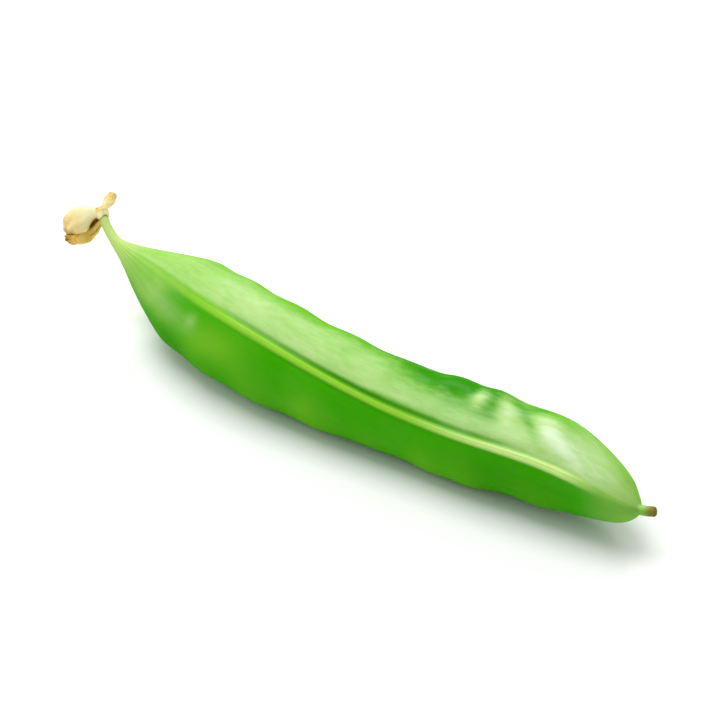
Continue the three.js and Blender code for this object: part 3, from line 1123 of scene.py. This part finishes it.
class PEAPOD_OT_skin(bpy.types.Operator):
    """Build the pod's skin: a smooth hull from its growth, with its relief raised by the Pod Relief rule"""

    bl_idname = "peapod.skin"
    bl_label = "Pod Skin"

    def execute(self, context):
        shape = context.scene.pea_pod_shape
        along, turn = pod_skin_grid(shape.rings, shape.around)
        points, outward = smooth_hull(along, turn)
        ends = np.array([TIP_AT, STUB_END_AT])
        points = np.concatenate([points.reshape(-1, 3), middle_line(ends)]) + frame_shift()
        end_headings = heading_at(ends) * np.array([[-1.0], [1.0]])
        spread = HALF_THICKNESS * girth(along) * np.abs(np.sin(turn))
        attributes = [
            ("along", "FLOAT", np.append(along, ends)),
            ("turn", "FLOAT", np.append(turn, (0.0, 0.0))),
            ("spread", "FLOAT", np.append(spread, (0.0, 0.0))),
            ("strength", "FLOAT", np.append(closing(along), (0.0, 0.0))),
            ("outward", "FLOAT_VECTOR", np.concatenate([outward.reshape(-1, 3), end_headings])),
        ]
        skin = new_mesh_object("pod_skin", points, closed_tube_faces(*along.shape), attributes)
        material = pod_skin_material(context.scene.pea_pod_colours)
        add_rule(
            skin,
            pod_relief_group(),
            Rim_Height=shape.rim_height / MM,
            Rim_Width=shape.rim_width / MM,
            Rim_Offset=shape.rim_offset / MM,
            Rim_Broadening=shape.rim_broadening,
            Groove_Depth=shape.groove_depth / MM,
            Groove_Offset=shape.groove_offset / MM,
            Groove_Drift=shape.groove_drift / MM,
            Keel_Height=shape.keel_height / MM,
            Bulge_Share=shape.bulge_share,
            Rib_Height=shape.rib_height / MM,
            Ribs=shape.ribs,
            Material=material,
        )
        settle(skin)
        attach(skin, "root")
        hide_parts("pod")
        return {"FINISHED"}


def pale_floor_material():
    material, _, shader = new_material("Pale Floor")
    feed_inputs(shader, Base_Color=FLOOR_GREY, Roughness=0.9, Specular_IOR_Level=0.1)
    return material


def facing(direction):
    """How a lamp or a camera is turned to look in a direction."""
    return direction.to_track_quat("-Z", "Y").to_euler()


def softbox(name, aim, place, size, watts):
    """A softbox at a place, turned to what it lights, in metres."""
    light = bpy.data.lights.new(name, "AREA")
    light.shape = "RECTANGLE"
    light.size, light.size_y = size
    light.energy = watts
    obj = bpy.data.objects.new(name, light)
    obj.location = place
    obj.rotation_euler = facing(aim - Vector(place))
    bpy.context.scene.collection.objects.link(obj)
    return obj


class PEAPOD_OT_stage(bpy.types.Operator):
    """Build the pale floor, the softboxes, the even room light and the camera"""

    bl_idname = "peapod.stage"
    bl_label = "Stage"

    def execute(self, context):
        settings = context.scene.pea_pod_stage
        half = settings.floor_radius
        corners = [(-half, -half, 0), (half, -half, 0), (half, half, 0), (-half, half, 0)]
        floor = new_mesh_object("floor", np.array(corners) / MM, [(0, 1, 2, 3)])
        floor.data.materials.append(pale_floor_material())
        aim = Vector(settings.aim)
        lights = [softbox(name, aim, *setup) for name, setup in SOFTBOXES.items()]
        world = bpy.data.worlds.new("Even Room")
        world.use_nodes = True
        white = (1.0, 1.0, 1.0, 1.0)
        feed_inputs(world.node_tree.nodes["Background"], Color=white, Strength=ROOM_BRIGHTNESS)
        context.scene.world = world
        context.scene.view_settings.view_transform = "Standard"

        camera = bpy.data.objects.new("camera", bpy.data.cameras.new("camera"))
        a, e = settings.azimuth, settings.elevation
        back = Vector((math.sin(a) * math.cos(e), -math.cos(a) * math.cos(e), math.sin(e)))
        camera.location = aim + back * settings.distance
        camera.rotation_euler = facing(-back)
        camera.data.lens = settings.lens
        camera.data.clip_start = NEAREST_SEEN
        context.scene.collection.objects.link(camera)
        context.scene.camera = camera
        return {"FINISHED"}


# The groups of settings by their names in the scene, and the button that stands below each in the
# panel. The skin reads both its sizes and its colours, so its button stands below the colours.
SETTINGS = {
    "pea_pod_shape": PodShapeSettings,
    "pea_pod_colours": PodColourSettings,
    "pea_pod_blossom": BlossomSettings,
    "pea_pod_stage": StageSettings,
}
BUTTONS = {
    "pea_pod_colours": "peapod.skin",
    "pea_pod_blossom": "peapod.blossom",
    "pea_pod_stage": "peapod.stage",
}


class PEAPOD_PT_panel(bpy.types.Panel):
    """Lists the pieces of the pea pod and their settings"""

    bl_idname = "PEAPOD_PT_panel"
    bl_label = "Pea Pod"
    bl_space_type = "VIEW_3D"
    bl_region_type = "UI"
    bl_category = "Pea Pod"

    def draw(self, context):
        for name, group in SETTINGS.items():
            box = self.layout.box()
            for setting in group.__annotations__:
                box.prop(getattr(context.scene, name), setting)
            if name in BUTTONS:
                box.operator(BUTTONS[name])


CLASSES = (*SETTINGS.values(), PEAPOD_OT_skin, PEAPOD_OT_blossom, PEAPOD_OT_stage, PEAPOD_PT_panel)


def register():
    for each in CLASSES:
        bpy.utils.register_class(each)
    for name, group in SETTINGS.items():
        setattr(bpy.types.Scene, name, PointerProperty(type=group))


def unregister():
    for name in SETTINGS:
        delattr(bpy.types.Scene, name)
    for each in reversed(CLASSES):
        bpy.utils.unregister_class(each)


def main():
    register()
    bpy.ops.peapod.skin()
    bpy.ops.peapod.blossom()
    bpy.ops.peapod.stage()


if __name__ == "__main__":
    main()
